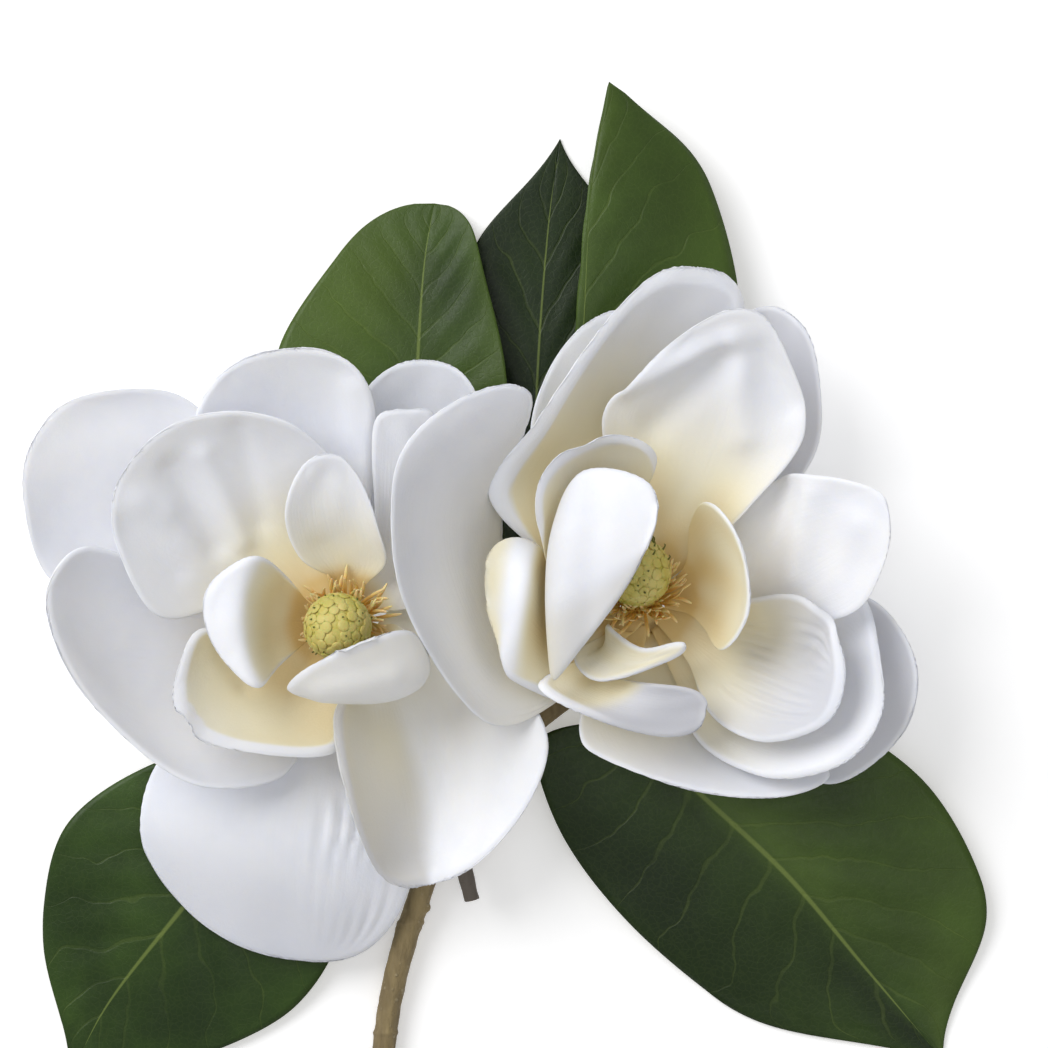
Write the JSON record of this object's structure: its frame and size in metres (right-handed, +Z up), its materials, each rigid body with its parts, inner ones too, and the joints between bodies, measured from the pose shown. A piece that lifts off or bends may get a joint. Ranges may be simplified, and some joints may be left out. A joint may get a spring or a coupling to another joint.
{
  "type": "magnolia branch",
  "caption": "Cut magnolia branch lying on a surface, with two open white flowers, yellow-green centres, leathery green leaves and a woody stem.",
  "frame": {"origin": "on the surface the branch lies on, under the middle of its whole outline", "axes": "+Z up, away from the surface and out of the flowers; +Y along the branch, from the cut end of the stem towards the top leaves; +X towards the right-hand flower"},
  "size_m": [0.3497, 0.4505, 0.0814],
  "materials": {
    "petal": "soft satin, cream towards the foot",
    "centre": "matte, pebbled",
    "stamen": "matte",
    "bark": "rough bark",
    "leaf": "waxy semi-gloss with pale veins"
  },
  "bodies": {
    "root": {"left_petal_far_left": "petal", "left_petal_top": "petal", "left_petal_behind": "petal", "left_petal_bottom": "petal", "left_petal_bowl": "petal", "left_petal_inner_left": "petal", "left_petal_small_top": "petal", "left_petal_small_left": "petal", "left_petal_cup": "petal", "left_petal_bottom_right": "petal", "left_petal_small_right": "petal", "left_petal_narrow": "petal", "right_petal_behind_left": "petal", "right_petal_top": "petal", "right_petal_inner_top": "petal", "right_petal_behind_right": "petal", "right_petal_right": "petal", "right_petal_cup": "petal", "right_petal_crescent": "petal", "right_petal_low": "petal", "right_petal_far_right": "petal", "right_petal_over_centre": "petal", "right_petal_rolled": "petal", "right_petal_left_cup": "petal", "right_petal_low_tongue": "petal", "right_petal_small_low": "petal", "right_petal_small_right": "petal", "right_petal_far_left": "petal", "left_centre": "centre", "right_centre": "centre", "left_stamens": "stamen", "right_stamens": "stamen", "branch": "bark", "leaf_top_left": "leaf", "leaf_top_middle": "leaf", "leaf_top_right": "leaf", "leaf_low_left": "leaf", "leaf_low_right": "leaf"}
  },
  "joints": []
}
